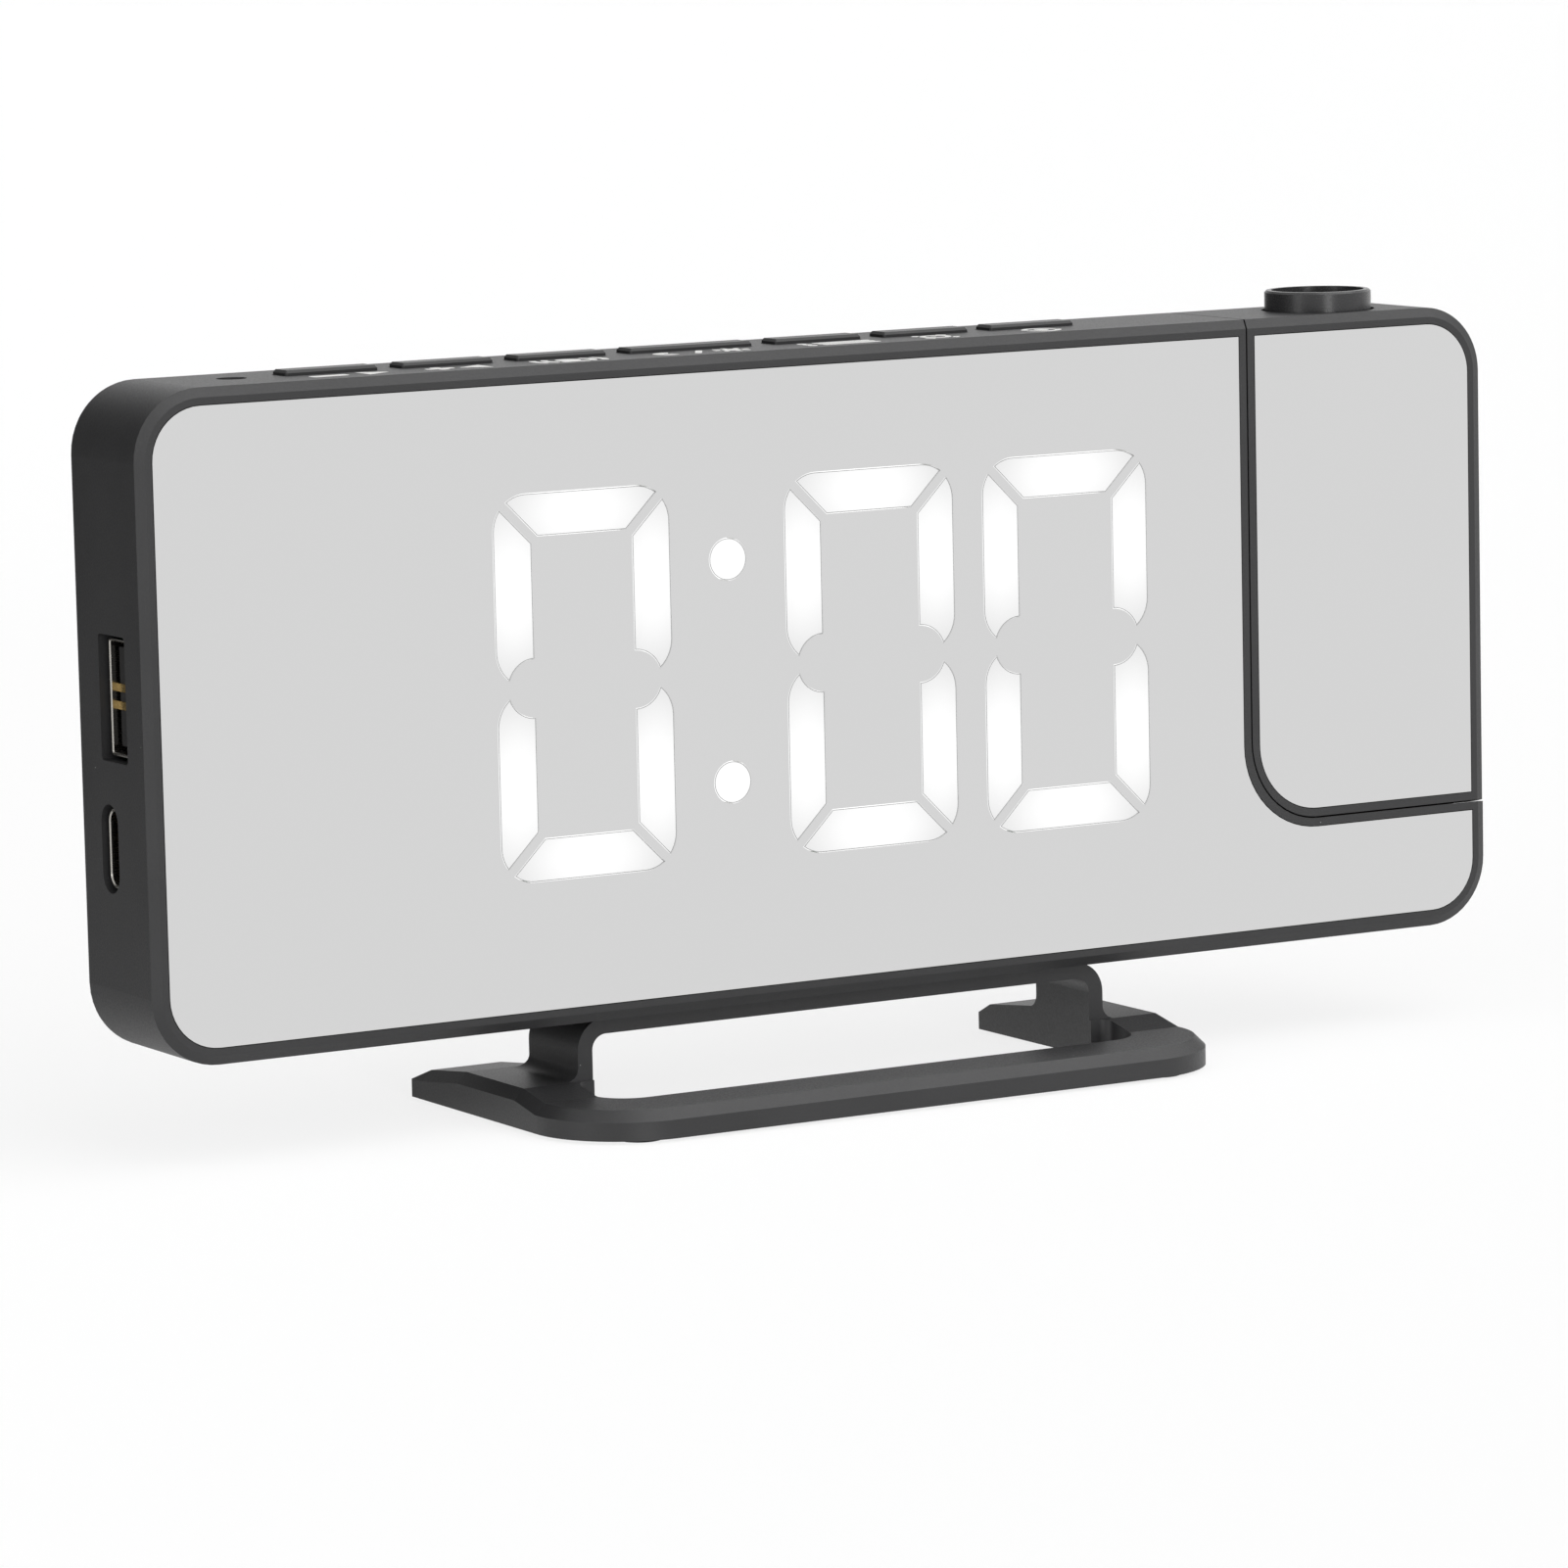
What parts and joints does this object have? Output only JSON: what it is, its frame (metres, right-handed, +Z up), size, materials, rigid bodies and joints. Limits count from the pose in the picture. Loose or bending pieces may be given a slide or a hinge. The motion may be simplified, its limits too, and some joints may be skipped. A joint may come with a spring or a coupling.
{
  "type": "projection alarm clock",
  "caption": "Bedside alarm clock with a mirrored front, light-up digits, a tilting projector with a focus ring, top keys, side USB sockets and a low stand.",
  "frame": {"origin": "centre of the footprint, on the surface that the clock stands on", "axes": "+X to the right seen from the front, +Y to the back, +Z up; the face looks along -Y"},
  "size_m": [0.18, 0.0428, 0.0898],
  "materials": {
    "black_plastic": "satin moulded ABS",
    "stand_plastic": "satin moulded ABS",
    "knob_plastic": "satin moulded ABS",
    "key_plastic": "satin moulded ABS",
    "inner_black_plastic": "matt",
    "white_plastic": "matt",
    "washer_plastic": "natural acetal",
    "mirror_acrylic": "half-silvered acrylic, polished",
    "lit_diffuser": "white diffusing acrylic, lit from behind",
    "unlit_diffuser": "white diffusing acrylic, dark",
    "circuit_board": "glass-fibre laminate with solder mask",
    "lead_insulation": "matt",
    "plated_steel": "nickel plated",
    "screw_steel": "blackened",
    "axle_steel": "turned",
    "speaker_metal": "zinc plated",
    "rubber": "matt",
    "smoked_window": "smoked acrylic",
    "clear_lens": "polished"
  },
  "bodies": {
    "clock_body": {"battery_door": "black_plastic", "battery_door_screw": "screw_steel", "battery_holder": "inner_black_plastic", "board_chips": "inner_black_plastic", "board_header": "inner_black_plastic", "board_spacers": "white_plastic", "case_screws": "screw_steel", "coin_cell": "plated_steel", "display_board": "circuit_board", "display_reflector": "white_plastic", "front_housing": "black_plastic", "hinge_washer": "washer_plastic", "key_board": "circuit_board", "key_switches": "inner_black_plastic", "lead_socket": "white_plastic", "light_sensor": "clear_lens", "lit_segments": "lit_diffuser", "main_board": "circuit_board", "main_mirror_panel": "mirror_acrylic", "projector_lead": "lead_insulation", "rear_cover": "black_plastic", "segment_lamps": "white_plastic", "sensor_window": "smoked_window", "speaker": "speaker_metal", "stand": "stand_plastic", "stand_pads": "rubber", "stand_screws": "screw_steel", "unlit_segments": "unlit_diffuser", "usb_a_shell": "plated_steel", "usb_a_tongue": "inner_black_plastic", "usb_c_shell": "plated_steel", "usb_c_tongue": "inner_black_plastic"},
    "projector": {"projector_housing": "black_plastic", "projector_rear_cover": "black_plastic", "projector_mirror_panel": "mirror_acrylic", "projector_screws": "screw_steel", "hinge_axle": "axle_steel", "hinge_clip": "screw_steel", "driver_board": "circuit_board", "driver_socket": "white_plastic", "lamp_board": "circuit_board", "projector_lamp": "clear_lens", "light_tunnel": "inner_black_plastic", "condenser_lens": "clear_lens", "lcd_slide": "clear_lens", "lens_guide": "inner_black_plastic"},
    "focus_ring": {"focus_knob": "knob_plastic", "barrel_clip": "screw_steel"},
    "lens_carrier": {"lens_cell": "inner_black_plastic", "projection_lens": "clear_lens"},
    "key_down": {"key_down": "key_plastic"},
    "key_up": {"key_up": "key_plastic"},
    "key_alarm": {"key_alarm": "key_plastic"},
    "key_snooze": {"key_snooze": "key_plastic"},
    "key_mode": {"key_mode": "key_plastic"},
    "key_sound": {"key_sound": "key_plastic"},
    "key_project": {"key_project": "key_plastic"}
  },
  "joints": [
    {"name": "projector_tilt", "type": "hinge", "parent": "clock_body", "child": "projector", "pos_m": [0.0558, 0.0022, 0.05705], "axis": [1, 0, 0], "range_deg": [-90, 90]},
    {"name": "focus_turn", "type": "hinge", "parent": "projector", "child": "focus_ring", "pos_m": [0.072, 0.0022, 0.0874], "axis": [0, 0, 1], "range_deg": [-150, 150]},
    {"name": "lens_slide", "type": "slide", "parent": "projector", "child": "lens_carrier", "axis": [0, 0, 1], "range_m": [-0.00125, 0.00125]},
    {"name": "key_down_press", "type": "slide", "parent": "clock_body", "child": "key_down", "axis": [0, 0, -1], "range_m": [0, 0.0005], "stiffness_N_per_m": 600},
    {"name": "key_up_press", "type": "slide", "parent": "clock_body", "child": "key_up", "axis": [0, 0, -1], "range_m": [0, 0.0005], "stiffness_N_per_m": 600},
    {"name": "key_alarm_press", "type": "slide", "parent": "clock_body", "child": "key_alarm", "axis": [0, 0, -1], "range_m": [0, 0.0005], "stiffness_N_per_m": 600},
    {"name": "key_snooze_press", "type": "slide", "parent": "clock_body", "child": "key_snooze", "axis": [0, 0, -1], "range_m": [0, 0.0005], "stiffness_N_per_m": 600},
    {"name": "key_mode_press", "type": "slide", "parent": "clock_body", "child": "key_mode", "axis": [0, 0, -1], "range_m": [0, 0.0005], "stiffness_N_per_m": 600},
    {"name": "key_sound_press", "type": "slide", "parent": "clock_body", "child": "key_sound", "axis": [0, 0, -1], "range_m": [0, 0.0005], "stiffness_N_per_m": 600},
    {"name": "key_project_press", "type": "slide", "parent": "clock_body", "child": "key_project", "axis": [0, 0, -1], "range_m": [0, 0.0005], "stiffness_N_per_m": 600}
  ],
  "couplings": [
    {"joint": "focus_turn", "follows": "lens_slide", "rad_per_m": 2094.4}
  ]
}
